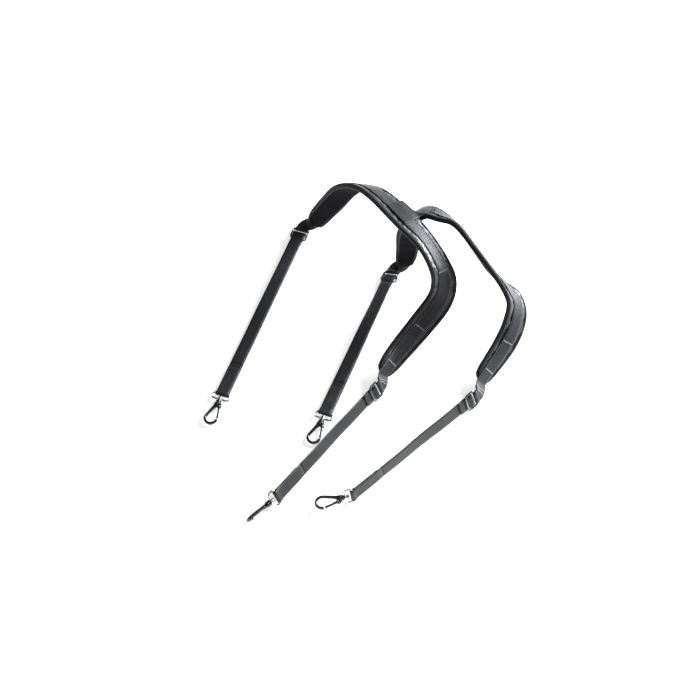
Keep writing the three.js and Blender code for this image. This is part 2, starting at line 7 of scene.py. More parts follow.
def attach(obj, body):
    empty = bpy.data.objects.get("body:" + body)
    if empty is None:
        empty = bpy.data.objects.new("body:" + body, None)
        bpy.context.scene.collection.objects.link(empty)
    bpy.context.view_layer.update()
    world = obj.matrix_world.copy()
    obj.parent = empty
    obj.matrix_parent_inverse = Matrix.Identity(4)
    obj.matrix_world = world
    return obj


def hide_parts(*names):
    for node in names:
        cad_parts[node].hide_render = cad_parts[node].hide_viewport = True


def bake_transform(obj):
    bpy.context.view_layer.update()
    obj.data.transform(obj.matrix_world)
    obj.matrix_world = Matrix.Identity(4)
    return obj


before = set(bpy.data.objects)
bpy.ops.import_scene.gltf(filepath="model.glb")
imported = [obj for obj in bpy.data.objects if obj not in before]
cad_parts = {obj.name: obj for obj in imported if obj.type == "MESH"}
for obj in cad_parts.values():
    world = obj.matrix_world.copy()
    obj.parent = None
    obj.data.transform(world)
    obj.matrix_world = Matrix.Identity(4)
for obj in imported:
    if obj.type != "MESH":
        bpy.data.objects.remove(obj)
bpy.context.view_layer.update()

MM = 0.001
FOOTPRINT_MIDDLE = np.array((24.0, 9.0, 0.0))  # taken from every place below, as in the part

# ---------------------------------------------------------------- driving dimensions
WEB_WIDTH = 20.0
WEB_THICK = 1.4
WEB_HALF = WEB_THICK / 2
PLY = WEB_HALF + 0.05  # a doubled webbing's plies lie this far from its middle
PAD_WIDTH = 40.0
PAD_TAPER = 9.0
PAD_TIP = 7.0
PAD_TOP = 2.6
PAD_BOTTOM = -3.0
PAD_END_ROUND = 7.0
WEB_LEVEL = 3.6  # shoulder webbing's middle above the pad's middle line
EDGE_INSET = 0.9  # the binding's outer face stands this far out from the outline it follows
BAR_RADIUS = 1.5
EYE_MIDDLE = 2.6  # from a bar's middle to the middle of the webbing round it
PLATE_LEVEL = 2.6  # adjuster's middle plane, out from the leg strand's middle
TOP_BAR_Y = -9.0
LIP_Y = 9.5
TAIL_LEVEL = 1.7  # tail's middle, out from the leg strand's middle
TURN_END = 14.0  # the strand starts here, below the adjuster's middle bar
TAIL_START = 8.1
EYE_LEAD = 2.1  # straight webbing between a tab and its eye
TAB_STEPS = 14
SEWN_LENGTH = 56.0  # doubled and stitched end of each leg
WIRE_RADIUS = 1.6
LOOP_EYE_MIDDLE = 2.7
LOOP_HALF_WIDTH = 12.4
LOOP_FAR_Y = 9.8
HOOK_START = 12.4
BOW_Y = 43.9
BOW_MIDDLE = 8.55
GATE_PIVOT = (-4.6, 21.9)
GATE_TIP = (-8.55, 41.4)

# Middle line and outward direction of each padded strap, from its rear end to its front end.
LEFT_PAD = [
    (-56, 265, 18, 0.5, 0.9, -0.1),
    (-45, 262, 42, 0.4, 0.9, 0),
    (-27, 256, 78, 0.3, 1, 0.1),
    (-8, 251, 112, 0.1, 0.9, 0.3),
    (14, 240, 134, 0.1, 0.8, 0.7),
    (41, 214, 146, 0.2, 0.4, 0.9),
    (82, 163, 146, 0.2, 0.1, 1),
    (112, 128, 136, 0.5, 0, 0.9),
    (131, 101, 116, 0.6, -0.4, 0.7),
    (137, 85, 94, 0.3, -0.8, 0.5),
    (129, 70, 70, 0.1, -0.8, 0.6),
    (101, 44, 44, 0.1, -0.7, 0.7),
    (72, 14, 26, 0.3, -0.6, 0.7),
    (47, -18, 16, 0.6, -0.6, 0.5),
]
RIGHT_PAD = [
    (83, 183, 17, 0.1, 1, -0.2),
    (87, 189, 46, 0, 1, 0),
    (88, 190, 90, -0.3, 0.9, 0.1),
    (97, 195, 118, -0.5, 0.7, 0.4),
    (113, 193, 132, -0.2, 0.6, 0.8),
    (136, 178, 136, 0.3, 0.5, 0.8),
    (158, 161, 135, 0.7, 0.5, 0.5),
    (181, 128, 127, 0.8, 0.4, 0.4),
    (202, 99, 116, 0.8, 0.5, 0.4),
    (225, 78, 100, 0.8, 0.3, 0.6),
    (240, 63, 84, 0.8, -0.3, 0.6),
    (241, 44, 64, 0.5, -0.7, 0.5),
    (227, 18, 40, 0.4, -0.7, 0.6),
    (190, -30, 15, 0.5, -0.7, 0.5),
]
# Each leg: adjuster's middle bar, hook loop's bar, outward directions, fold, swivel, tail length.
LEGS = {
    "rear_left": ((-79, 255, 5.9), (-186, -47, 5), (0, 0, -1), (0, 0, -1), 0, 180, 14),
    "front_left": (
        (36, -46, 12.2), (-101, -223, 15.2), (0.7, -0.54, 0.47), (0.68, -0.52, 0.5), 12, -47, 15,
    ),
    "rear_right": ((61, 168, 9.8), (-36, -80, 5), (0.29, -0.11, -0.95), (0, 0, -1), 0, 180, 14),
    "front_right": ((174, -62, 12.3), (4, -221, 15), (0.59, -0.67, 0.45), (0.65, -0.71, 0.26), 33, 75, 15),
}
# Bar tacks across the shoulder webbing, as shares of each pad's length.
TACKS = {"left": (0.05, 0.56, 0.645, 0.83, 0.96), "right": (0.05, 0.37, 0.85, 0.96)}
TAB_TACKS = (0.55, 0.75)  # and on each tab, as shares of its run
STITCH_X = 8.4  # the stitch rows along the shoulder webbing, from its middle line
# Where the leather join starts and ends, as shares of each pad's length, and how high its pieces lie.
JUNCTION = {"left": (17.7 / 44, 21.2 / 44), "right": (9.7 / 44, 13.2 / 44)}
JUNCTION_TOP, JUNCTION_UNDERSIDE = 5.2, -6.4
LEATHER_THICK = 1.4

# The cloth simulation that fills the pads.
PRESSURE = 4
CLOTH_GROWTH = 0.03  # the cloth is cut this share larger than the pad it starts as
CLOTH_STIFFNESS = 30
CLOTH_BENDING = 0.4
CLOTH_FRAMES = 20
SWELL_LIMIT = 1.3  # no point moves further than this


# ---------------------------------------------------------------- vectors and places
def unit(v):
    return v / np.linalg.norm(v)


def smooth(x):
    x = min(max(x, 0.0), 1.0)
    return x * x * (3 - 2 * x)


def turn(axis, degrees):
    return np.array(Matrix.Rotation(math.radians(degrees), 3, Vector(axis)))


def lengths_along(points):
    """Each point's distance along the line from its first point."""
    steps = np.linalg.norm(np.diff(points, axis=0), axis=1)
    return np.concatenate(((0,), np.cumsum(steps)))


class Place:
    """An origin and three directions: x across the webbing, y along it and z outwards."""

    def __init__(self, origin, basis):
        self.origin = np.asarray(origin, float)
        self.basis = basis  # columns are x, y and z

    @classmethod
    def facing(cls, origin, along, out):
        out = unit(out - along * out.dot(along))
        return cls(origin, np.column_stack((np.cross(along, out), along, out)))

    def at(self, x, y, z):
        return self.origin + self.basis @ np.array((x, y, z), float)

    def direction(self, v):
        return self.basis @ np.asarray(v, float)

    def turned(self, axis, degrees):
        return Place(self.origin, self.basis @ turn(axis, degrees))

    def matrix(self):
        m = Matrix(self.basis.tolist()).to_4x4()
        m.translation = Vector(self.origin * MM)
        return m


class Leg:
    def __init__(self, start, end, start_out, end_out, fold, swivel, tail):
        start = np.array(start, float) - FOOTPRINT_MIDDLE
        end = np.array(end, float) - FOOTPRINT_MIDDLE
        along = unit(end - start)
        self.length = np.linalg.norm(end - start)
        self.tail = tail
        self.start = Place.facing(start, along, np.array(start_out, float))
        self.end = Place.facing(end, along, np.array(end_out, float))
        self.loop = self.end.turned((1, 0, 0), -fold)
        self.hook = self.loop.turned((0, 1, 0), swivel)


class Route:
    """A pad's middle line: an even Catmull-Rom curve through its rows, measured along its length."""

    STEPS = 600

    def __init__(self, rows):
        rows = np.array(rows, float)
        rows[:, :3] -= FOOTPRINT_MIDDLE
        before = 2 * rows[0] - rows[1]
        after = 2 * rows[-1] - rows[-2]
        self.rows = np.vstack((before, rows, after))
        self.t = np.linspace(0, len(rows) - 1, self.STEPS)
        line = np.array([self.row(t)[0][:3] for t in self.t])
        self.lengths = lengths_along(line)
        self.length = self.lengths[-1]

    def row(self, t):
        """The interpolated row at t and its slope."""
        i = min(int(t), len(self.rows) - 4)
        w = t - i
        a, b, c, d = self.rows[i:i + 4]
        m0, m1 = (c - a) / 2, (d - b) / 2
        cubic, square = 2 * b - 2 * c + m0 + m1, 3 * c - 3 * b - 2 * m0 - m1
        value = b + w * (m0 + w * (square + w * cubic))
        return value, m0 + w * (2 * square + 3 * w * cubic)

    def place(self, s):
        value, slope = self.row(np.interp(s, self.lengths, self.t))
        return Place.facing(value[:3], unit(slope[:3]), value[3:])

    def at(self, s, x, z):
        return self.place(s).at(x, 0, z)


# ---------------------------------------------------------------- meshes
def make_piece(name, body, verts, faces, material, uvs=None, slot=None, replaces=(), place=None):
    """A new piece from points in millimetres. With a place, the points are in that place's frame."""
    mesh = bpy.data.meshes.new(name)
    mesh.from_pydata((np.asarray(verts, float) * MM).tolist(), [], faces)
    if uvs is not None:
        layer = mesh.uv_layers.new(name="weave")
        flat = np.asarray(uvs, float)[[loop.vertex_index for loop in mesh.loops]] * MM
        layer.data.foreach_set("uv", flat.ravel())
    mesh.shade_smooth()
    mesh.materials.append(material)
    piece = bpy.data.objects.new(name, mesh)
    bpy.context.collection.objects.link(piece)
    if place is not None:
        mesh.transform(place.matrix())
    if body:
        finish_piece(piece, body, slot, replaces)
    return piece


def finish_piece(piece, body, slot=None, replaces=()):
    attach(piece, body)
    if replaces:
        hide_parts(*replaces)


def loft(rings, closed=False):
    """Points and faces of a skin through equal rings, with a face at both ends unless it is closed."""
    rings = np.asarray(rings, float)
    count, size = rings.shape[:2]
    faces = []
    for i in range(count if closed else count - 1):
        a, b = i * size, (i + 1) % count * size
        for k in range(size):
            j = (k + 1) % size
            faces.append((a + k, b + k, b + j, a + j))
    if not closed:
        faces.append(tuple(range(size)))
        faces.append(tuple((count - 1) * size + k for k in reversed(range(size))))
    return rings.reshape(-1, 3), faces


def merged(*parts):
    """One list of points and faces from several."""
    verts, faces, start = [], [], 0
    for points, polygons in parts:
        verts.append(np.asarray(points, float))
        faces += [tuple(start + i for i in polygon) for polygon in polygons]
        start += len(points)
    return np.vstack(verts), faces


def ellipse(half_width, half_height, sides, power=2.0):
    """Points round an ellipse, or a squarer superellipse with a higher power, counter-clockwise."""
    points = []
    for i in range(sides):
        c, s = math.cos(2 * math.pi * i / sides), math.sin(2 * math.pi * i / sides)
        fat = (abs(c) ** power + abs(s) ** power) ** (-1 / power)
        points.append((half_width * c * fat, half_height * s * fat))
    return points


def flat_sweep(path, half_width, half_thick, closed=False, sides=16, power=2.4, levels=None):
    """A rounded bar along a path in the x-y plane. Widths may be a number or one for each point."""
    path = np.asarray(path, float)
    count = len(path)
    widths = np.broadcast_to(half_width, count)
    thicks = np.broadcast_to(half_thick, count)
    heights = np.zeros(count) if levels is None else levels
    rings = []
    for i in range(count):
        before = path[i - 1] if closed or i else path[0]
        after = path[(i + 1) % count] if closed or i + 1 < count else path[-1]
        dx, dy = unit(after - before)
        rings.append([
            (path[i][0] + dy * u, path[i][1] - dx * u, heights[i] + v)
            for u, v in ellipse(widths[i], thicks[i], sides, power)
        ])
    return loft(rings, closed)


def lathe_y(profile, sides=32):
    """A turned piece about the y axis. The profile is (radius, y) from one end to the other."""
    rings = []
    for radius, y in profile:
        turns = [2 * math.pi * i / sides for i in range(sides)]
        rings.append([(radius * math.cos(a), y, -radius * math.sin(a)) for a in turns])
    return loft(rings)


def arc(centre, radius, start, end, steps):
    angles = np.radians(np.linspace(start, end, steps))
    return [(centre[0] + radius * math.cos(a), centre[1] + radius * math.sin(a)) for a in angles]


def rounded_rectangle(x0, x1, y0, y1, radius, steps=8, straight=6):
    """A closed path round a rectangle, counter-clockwise, with points along its straight stretches."""
    corners = [
        arc((x1 - radius, y0 + radius), radius, -90, 0, steps),
        arc((x1 - radius, y1 - radius), radius, 0, 90, steps),
        arc((x0 + radius, y1 - radius), radius, 90, 180, steps),
        arc((x0 + radius, y0 + radius), radius, 180, 270, steps),
    ]
    path = []
    for i, corner in enumerate(corners):
        path += corner
        a, b = np.array(corner[-1]), np.array(corners[(i + 1) % 4][0])
        path += [tuple(a + (b - a) * k / straight) for k in range(1, straight)]
    return path


# ---------------------------------------------------------------- webbing and stitches
class Ribbon:
    """Webbing's middle line with its across and outward directions, one row for each station."""

    def __init__(self):
        self.points, self.outs, self.acrosses = [], [], []

    def add(self, point, out, across):
        self.points.append(np.asarray(point, float))
        self.outs.append(unit(np.asarray(out, float)))
        self.acrosses.append(unit(np.asarray(across, float)))

    def extend(self, other):
        self.points += other.points
        self.outs += other.outs
        self.acrosses += other.acrosses

    def reversed(self):
        back = Ribbon()
        back.points = self.points[::-1]
        back.outs = self.outs[::-1]
        back.acrosses = [-a for a in self.acrosses[::-1]]
        return back

    def mesh(self):
        half, edge = WEB_WIDTH / 2, 0.5
        across = [half, half - edge, 5, 0, -5, edge - half, -half, edge - half, -5, 0, 5, half - edge]
        levels = [0] + [WEB_HALF] * 5 + [0] + [-WEB_HALF] * 5
        lengths = lengths_along(np.array(self.points))
        rings, uvs = [], []
        for p, out, side, s in zip(self.points, self.outs, self.acrosses, lengths):
            rings.append([p + side * x + out * z for x, z in zip(across, levels)])
            uvs += [(x, s) for x in across]
        return loft(rings), uvs


def yz_ribbon(place, path):
    """A ribbon that bends in a place's y-z plane, through (y, z) points."""
    path = np.asarray(path, float)
    ribbon = Ribbon()
    for i, (y, z) in enumerate(path):
        before, after = path[max(i - 1, 0)], path[min(i + 1, len(path) - 1)]
        dy, dz = unit(after - before)
        ribbon.add(place.at(0, y, z), place.direction((0, -dz, dy)), place.direction((1, 0, 0)))
    return ribbon


def webbing(name, body, ribbon, replaces=()):
    (verts, faces), uvs = ribbon.mesh()
    return make_piece(name, body, verts, faces, MATERIALS["webbing"], uvs, "webbing", replaces)


class Thread:
    """Gathers stitches, each a small rounded rod that lies on a surface, into one piece."""

    SIDES = 6
    PROFILE = ((-0.5, 0.35), (-0.36, 0.9), (0, 1.0), (0.36, 0.9), (0.5, 0.35))

    def __init__(self):
        self.parts = []

    def stitch(self, a, b, out, radius=0.24):
        a, b = np.asarray(a, float), np.asarray(b, float)
        along = unit(b - a)
        side = unit(np.cross(along, out))
        up = np.cross(side, along)
        length = np.linalg.norm(b - a)
        rings = []
        for share, width in self.PROFILE:
            middle = (a + b) / 2 + along * share * length + up * 0.15 * (width - 1)
            rings.append([
                middle + radius * width * (side * u + up * v)
                for u, v in ellipse(1, 1, self.SIDES)
            ])
        self.parts.append(loft(rings))

    def row(self, points, outs, pitch=3.2, length=2.3, radius=0.24):
        """Stitches at an even pitch along a line of points."""
        points, outs = np.asarray(points), np.asarray(outs)
        lengths = lengths_along(points)

        def between(rows, s):
            return np.array([np.interp(s, lengths, rows[:, k]) for k in range(3)])

        for i in range(int((lengths[-1] - length) // pitch) + 1):
            s = i * pitch
            out = between(outs, s + length / 2)
            self.stitch(between(points, s), between(points, s + length), out, radius)

    def tack(self, place, level, half_width=8.6, half_length=1.3, y=0.0):
        """A dense bar of zigzag stitches across the webbing."""
        for x in np.arange(-half_width, half_width, 0.55):
            a = place.at(x, y - half_length, level)
            b = place.at(x + 0.3, y + half_length, level)
            self.stitch(a, b, place.direction((0, 0, 1)), 0.3)

    def piece(self, name, body, material="thread"):
        verts, faces = merged(*self.parts)
        return make_piece(name, body, verts, faces, MATERIALS[material], slot="webbing")


# ---------------------------------------------------------------- materials
class Nodes:
    """Short calls for making one material's nodes."""

    def __init__(self, name):
        self.material = bpy.data.materials.new(name)
        self.material.use_nodes = True
        self.tree = self.material.node_tree
        self.shader = self.tree.nodes["Principled BSDF"]

    def link(self, a, b):
        self.tree.links.new(a, b)

    def math(self, operation, a, b=None):
        node = self.tree.nodes.new("ShaderNodeMath")
        node.operation = operation
        for i, value in enumerate((a, b)):
            if value is None:
                continue
            if isinstance(value, (int, float)):
                node.inputs[i].default_value = value
            else:
                self.link(value, node.inputs[i])
        return node.outputs[0]

    def ramp(self, value, low, high, start=0.0, end=1.0):
        node = self.tree.nodes.new("ShaderNodeValToRGB")
        ends = ((0, start, low), (1, end, high))
        for i, position, shade in ends:
            grey_or_color = shade if isinstance(shade, tuple) else (shade,) * 3
            node.color_ramp.elements[i].position = position
            node.color_ramp.elements[i].color = (*grey_or_color, 1)
        self.link(value, node.inputs[0])
        return node.outputs[0]

    def noise(self, scale, detail=3.0, coordinates=None):
        node = self.tree.nodes.new("ShaderNodeTexNoise")
        node.inputs["Scale"].default_value = scale
        node.inputs["Detail"].default_value = detail
        self.link(coordinates or self.place(), node.inputs["Vector"])
        return node.outputs["Fac"]

    def place(self):
        return self.tree.nodes.new("ShaderNodeTexCoord").outputs["Object"]

    def weave_axes(self):
        """The piece's own across and along coordinates, in metres."""
        split = self.tree.nodes.new("ShaderNodeSeparateXYZ")
        self.link(self.tree.nodes.new("ShaderNodeUVMap").outputs["UV"], split.inputs[0])
        return split.outputs["X"], split.outputs["Y"]

    def bump(self, height, distance, strength=0.7, normal=None):
        node = self.tree.nodes.new("ShaderNodeBump")
        node.inputs["Strength"].default_value = strength
        node.inputs["Distance"].default_value = distance
        self.link(height, node.inputs["Height"])
        if normal:
            self.link(normal, node.inputs["Normal"])
        return node.outputs["Normal"]

    def done(self, color, roughness, normal=None, metallic=0.0, sheen=0.0, coat=0.0, specular=0.5):
        for value, socket in ((color, "Base Color"), (roughness, "Roughness"), (normal, "Normal")):
            if value is None:
                continue
            if isinstance(value, (int, float)):
                self.shader.inputs[socket].default_value = value
            else:
                self.link(value, self.shader.inputs[socket])
        self.shader.inputs["Metallic"].default_value = metallic
        self.shader.inputs["Sheen Weight"].default_value = sheen
        self.shader.inputs["Sheen Roughness"].default_value = 0.4
        self.shader.inputs["Coat Weight"].default_value = coat
        self.shader.inputs["Specular IOR Level"].default_value = specular
        return self.material


def sine(n, coordinate, pitch):
    scaled = n.math("MULTIPLY", coordinate, 2 * math.pi / (pitch * MM))
    return n.math("ADD", n.math("MULTIPLY", n.math("SINE", scaled), 0.5), 0.5)


def woven(name, dark, light, across_pitch, along_pitch, depth, roughness, sheen, worn, specular=0.5):
    """Cloth of crossing yarns with painted shade: raised yarns are painted lighter and the hollows between
    them darker, and slow stains and rubbed patches vary it.
    """
    n = Nodes(name)
    x, y = n.weave_axes()
    warp, weft = sine(n, x, across_pitch), sine(n, y, along_pitch)
    checker = n.math("MULTIPLY", n.math("SUBTRACT", warp, 0.5), n.math("SUBTRACT", weft, 0.5))
    height = n.math("ADD", n.math("MULTIPLY", checker, 2.0), 0.5)
    fuzz = n.noise(2600, 2)
    height = n.math("ADD", n.math("MULTIPLY", height, 0.8), n.math("MULTIPLY", fuzz, 0.2))
    patches = n.noise(28, 4)
    wear = n.math("MULTIPLY", n.math("SUBTRACT", patches, 0.45), worn)
    # The weave's height is painted into the colour: painted shade in the hollows, lighter raised yarns.
    shade = n.math("ADD", n.math("MULTIPLY", height, 0.75), wear)
    color = n.ramp(shade, dark, light, 0.1, 0.95)
    rough = n.math("ADD", n.math("MULTIPLY", patches, 0.22), roughness - 0.11)
    return n.done(color, rough, n.bump(height, depth * MM), sheen=sheen, specular=specular)


def ribbed(name, dark, light, pitch, depth, roughness, sheen):
    """Binding tape with ribs across it, with painted shade in the hollows between the ribs."""
    n = Nodes(name)
    x, y = n.weave_axes()
    rib = sine(n, y, pitch)
    fine = sine(n, x, pitch / 2.2)
    fuzz = n.noise(2200, 2)
    height = n.math("ADD", n.math("MULTIPLY", rib, 0.7), n.math("MULTIPLY", fine, 0.15))
    height = n.math("ADD", height, n.math("MULTIPLY", fuzz, 0.15))
    patches = n.noise(40, 3)
    # The ribs' height is painted into the colour: painted shade between the ribs, plus random patches.
    shade = n.math("ADD", n.math("MULTIPLY", height, 0.6), n.math("MULTIPLY", patches, 0.35))
    rough = n.math("ADD", n.math("MULTIPLY", patches, 0.2), roughness - 0.1)
    return n.done(n.ramp(shade, dark, light), rough, n.bump(height, depth * MM), sheen=sheen, specular=0.22)


def brushed_lining():
    n = Nodes("pad_lining")
    pile = n.noise(1500, 4)
    patches = n.noise(45, 4)
    shade = n.math("ADD", n.math("MULTIPLY", pile, 0.6), n.math("MULTIPLY", patches, 0.4))
    color = n.ramp(shade, (0.002, 0.002, 0.003), (0.012, 0.012, 0.015), 0.3, 0.75)
    rough = n.math("ADD", n.math("MULTIPLY", patches, 0.15), 0.8)
    return n.done(color, rough, n.bump(pile, 0.3 * MM), sheen=0.03, specular=0.08)


def leather():
    n = Nodes("leather")
    cells = n.tree.nodes.new("ShaderNodeTexVoronoi")
    cells.feature = "DISTANCE_TO_EDGE"
    cells.inputs["Scale"].default_value = 620
    n.link(n.place(), cells.inputs["Vector"])
    grain = n.ramp(cells.outputs["Distance"], 0.0, 1.0, 0.0, 0.35)
    creases = n.noise(160, 5)
    height = n.math("ADD", n.math("MULTIPLY", grain, 0.6), n.math("MULTIPLY", creases, 0.5))
    patches = n.noise(30, 3)
    shade = n.math("ADD", n.math("MULTIPLY", height, 0.5), n.math("MULTIPLY", patches, 0.4))
    color = n.ramp(shade, (0.003, 0.003, 0.004), (0.018, 0.017, 0.019), 0.2, 0.9)
    rough = n.math("ADD", n.math("MULTIPLY", patches, 0.25), 0.34)
    return n.done(color, rough, n.bump(height, 0.25 * MM, 0.5), specular=0.45)


def metal(name, dark, light, roughness, spread, metallic=1.0, coat=0.0, grain=900):
    """Plated or painted metal: slow stains in colour and gloss over a fine grain."""
    n = Nodes(name)
    stains = n.noise(70, 5)
    fine = n.noise(grain, 2)
    color = n.ramp(stains, dark, light, 0.35, 0.7)
    mix = n.math("ADD", n.math("MULTIPLY", stains, spread), n.math("MULTIPLY", fine, spread / 2))
    rough = n.math("ADD", mix, roughness - spread * 0.75)
    return n.done(color, rough, n.bump(fine, 0.02 * MM, 0.35), metallic=metallic, coat=coat)


def thread_material(name, dark, light):
    n = Nodes(name)
    twist = n.noise(1800, 2)
    rough = n.math("ADD", n.math("MULTIPLY", twist, 0.2), 0.45)
    return n.done(n.ramp(twist, dark, light, 0.3, 0.7), rough, n.bump(twist, 0.08 * MM), sheen=0.2)


MATERIALS = {
    "shell": woven("pad_shell", (0.009, 0.009, 0.01), (0.055, 0.055, 0.06), across_pitch=0.9,
                   along_pitch=0.9, depth=0.14, roughness=0.42, sheen=0.12, worn=0.5, specular=0.9),
    "webbing": woven("webbing", (0.004, 0.004, 0.005), (0.03, 0.03, 0.034), across_pitch=1.25,
                     along_pitch=0.85, depth=0.2, roughness=0.4, sheen=0.03, worn=0.4, specular=0.42),
    "binding": ribbed("edge_binding", (0.003, 0.003, 0.004), (0.016, 0.016, 0.018), pitch=0.9,
                      depth=0.14, roughness=0.58, sheen=0.02),
    "lining": brushed_lining(),
    "leather": leather(),
    "thread": thread_material("thread", (0.02,) * 3, (0.07,) * 3),
    # Bar tack thread is painted lighter than the other thread: a painted sheen for the light its dense
    # stitches catch.
    "tack_thread": thread_material("tack_thread", (0.09,) * 3, (0.24,) * 3),
    "adjuster": metal("adjuster_metal", (0.09,) * 3, (0.22, 0.22, 0.23), 0.28, 0.18, metallic=0.9, coat=0.2),
    "nickel": metal("nickel", (0.55, 0.545, 0.54), (0.8, 0.8, 0.82), 0.17, 0.14),
    "gunmetal": metal("gunmetal", (0.045, 0.046, 0.052), (0.14, 0.142, 0.15), 0.26, 0.16),
    "steel": metal("steel", (0.36, 0.36, 0.37), (0.6, 0.6, 0.61), 0.28, 0.15),
}


# ---------------------------------------------------------------- shoulder pads
def pad_half(share):
    from_end = min(share, 1 - share)
    taper = PAD_TAPER * max(0, 1 - from_end / 0.25) ** 1.5
    tip = PAD_TIP * max(0, 1 - from_end / 0.05) ** 2
    return (PAD_WIDTH - taper - tip) / 2


def outline_half(route, s):
    """Half the pad's width at s along it, with its ends fully rounded."""
    from_end = min(s, route.length - s)
    rounding = 1 - min(from_end, PAD_END_ROUND) / PAD_END_ROUND
    return (pad_half(s / route.length) - EDGE_INSET) * math.sqrt(max(0.0, 1 - rounding ** 2))


def pad_stations(route, step):
    """Distances along a pad: even in its middle and closer together round its ends."""
    bend = [PAD_END_ROUND * (1 - math.cos(math.radians(a))) for a in range(6, 90, 12)]
    middle = np.arange(PAD_END_ROUND, route.length - PAD_END_ROUND, step)
    return np.concatenate((bend, middle, [route.length - s for s in reversed(bend)]))


def inflate(pad, fixed, limit):
    """Fills the closed pad with pressure, held at its stitched lines, and keeps the swollen shape."""
    before = np.array([v.co for v in pad.data.vertices])
    group = pad.vertex_groups.new(name="stitched")
    group.add([int(i) for i in np.nonzero(fixed)[0]], 1.0, "REPLACE")
    cloth = pad.modifiers.new("Cloth", "CLOTH")
    settings = cloth.settings
    settings.vertex_group_mass = "stitched"
    settings.use_pressure = True
    settings.uniform_pressure_force = PRESSURE
    settings.shrink_min = -CLOTH_GROWTH
    settings.tension_stiffness = CLOTH_STIFFNESS
    settings.compression_stiffness = CLOTH_STIFFNESS
    settings.bending_stiffness = CLOTH_BENDING
    settings.effector_weights.gravity = 0
    cloth.collision_settings.use_collision = False
    scene = bpy.context.scene
    for number in range(1, CLOTH_FRAMES + 1):
        scene.frame_set(number)
    depsgraph = bpy.context.evaluated_depsgraph_get()
    result = pad.evaluated_get(depsgraph).to_mesh()
    after = np.array([v.co for v in result.vertices])
    pad.evaluated_get(depsgraph).to_mesh_clear()
    pad.modifiers.remove(cloth)
    pad.vertex_groups.remove(group)
    scene.frame_set(1)
    move = after - before
    size = np.linalg.norm(move, axis=1, keepdims=True)
    move *= np.minimum(1, limit / np.maximum(size, 1e-9))
    pad.data.vertices.foreach_set("co", (before + move).ravel())
    pad.data.update()


def pad_shell(side, route):
    """The padded body: two soft bands beside the webbing, which is sewn down along the middle."""
    edge_top = 1.5
    band_start, band_width, band_height = 0.54, 0.46, 0.5  # shares of the half width, and millimetres
    fractions = np.array((1, 0.93, 0.84, 0.75, 0.66, 0.57, 0.3, 0))
    across = np.concatenate((fractions, -fractions[-2::-1], (-0.5, 0, 0.5)))
    upper_count = 2 * len(fractions) - 1
    rings, uvs, fixed = [], [], []
    for s in pad_stations(route, 3.2):
        half = outline_half(route, s)
        place = route.place(s)
        ring = []
        for k, f in enumerate(across):
            x = f * half
            upper = k < upper_count
            crown = math.sqrt(max(0, 1 - f * f)) ** 0.7
            band = math.sin(math.pi * min(max((abs(f) - band_start) / band_width, 0), 1))
            swollen = edge_top + (PAD_TOP - edge_top) * crown + band_height * band
            level = swollen if upper else PAD_BOTTOM
            ring.append(place.at(x, 0, level))
            uvs.append((x, s))
            fixed.append(not upper or abs(f) > 0.97 or abs(x) < WEB_WIDTH / 2 - 0.5)
        rings.append(ring)
    verts, faces = loft(rings)
    name = f"{side}_pad_shell"
    pad = make_piece(name, None, verts, faces, MATERIALS["shell"], uvs)
    inflate(pad, np.array(fixed), SWELL_LIMIT * MM)
    pad.modifiers.new("Smooth surface", "SUBSURF").render_levels = 1
    finish_piece(pad, "harness", "pad_fabric", (f"{side}_pad_core",))


def pad_lining(side, route):
    """A soft lining over the pad's inner face, slightly domed."""
    top, bottom, dome = PAD_BOTTOM - 0.2, PAD_BOTTOM - 0.9, 1.0
    across = (1, 0.8, 0.55, 0.28, 0, -0.28, -0.55, -0.8, -1)
    rings, uvs = [], []
    for s in pad_stations(route, 4):
        half = outline_half(route, s)
        place = route.place(s)
        ripple = 0.25 * math.sin(s / 7.0) + 0.18 * math.sin(s / 3.1 + 1)
        lower = [(f * half, bottom - (dome + ripple * (1 - f * f)) * math.sqrt(1 - f * f)) for f in across]
        upper = [(f * half, top) for f in reversed(across)]
        rings.append([place.at(x, 0, z) for x, z in reversed(lower + upper)])
        uvs += [(x, s) for x, _ in reversed(lower + upper)]
    verts, faces = loft(rings)
    lining = make_piece(f"{side}_pad_inner_lining", "harness", verts, faces, MATERIALS["lining"], uvs,
                        "pad_lining_fabric", (f"{side}_pad_lining",))
    lining.modifiers.new("Smooth surface", "SUBSURF").render_levels = 1


def outline(route, step=3.0):
    """The pad's edge as a closed path of (s, x) and its outward direction in that flat plan."""
    stations = pad_stations(route, step)
    forward = [(s, outline_half(route, s)) for s in stations]
    tip = [(0.0, 0.0)]
    far_tip = [(route.length, 0.0)]
    path = np.array(tip + forward + far_tip + [(s, -x) for s, x in reversed(forward)])
    tangent = np.roll(path, -1, axis=0) - np.roll(path, 1, axis=0)
    tangent /= np.linalg.norm(tangent, axis=1, keepdims=True)
    return path, np.column_stack((-tangent[:, 1], tangent[:, 0]))


